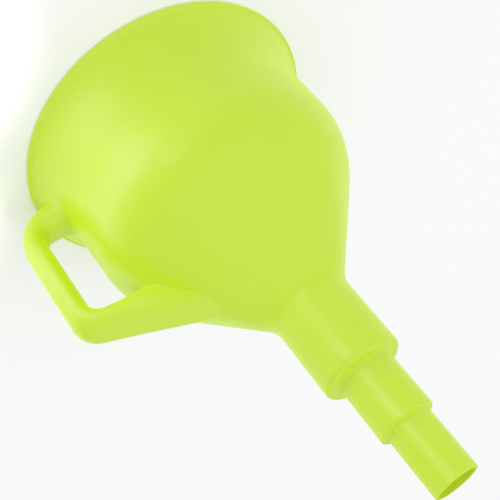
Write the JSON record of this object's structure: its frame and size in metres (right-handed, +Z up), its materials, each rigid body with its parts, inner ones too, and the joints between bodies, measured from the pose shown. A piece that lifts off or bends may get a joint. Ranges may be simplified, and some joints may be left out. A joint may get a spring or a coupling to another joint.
{
  "type": "funnel",
  "caption": "Blow-moulded funnel with a flared mouth, rounded bowl, cone, stepped spout and hollow side handle, standing on its rim.",
  "frame": {"origin": "centre of the rim's plane, where the funnel stands on its mouth", "axes": "+Z up the funnel's axis from the mouth to the spout's tip, +X from the axis to the handle; in use the funnel is turned over"},
  "size_m": [0.2195, 0.2, 0.2811],
  "materials": {
    "body_plastic": "satin, waxy moulded polyethylene, lime green",
    "spout_plastic": "satin, waxy moulded polyethylene, lime green",
    "handle_plastic": "satin, waxy moulded polyethylene, lime green"
  },
  "bodies": {
    "root": {"rim_bead": "body_plastic", "mouth_flare": "body_plastic", "bowl_wall": "body_plastic", "bowl_shoulder": "body_plastic", "cone": "body_plastic", "throat": "body_plastic", "spout_upper_tube": "spout_plastic", "spout_upper_step": "spout_plastic", "spout_middle_tube": "spout_plastic", "spout_lower_step": "spout_plastic", "spout_tip_tube": "spout_plastic", "spout_tip_lip": "spout_plastic", "handle_upper_arm": "handle_plastic", "handle_upper_bend": "handle_plastic", "handle_grip": "handle_plastic", "handle_lower_bend": "handle_plastic", "handle_fin": "handle_plastic"}
  },
  "joints": []
}
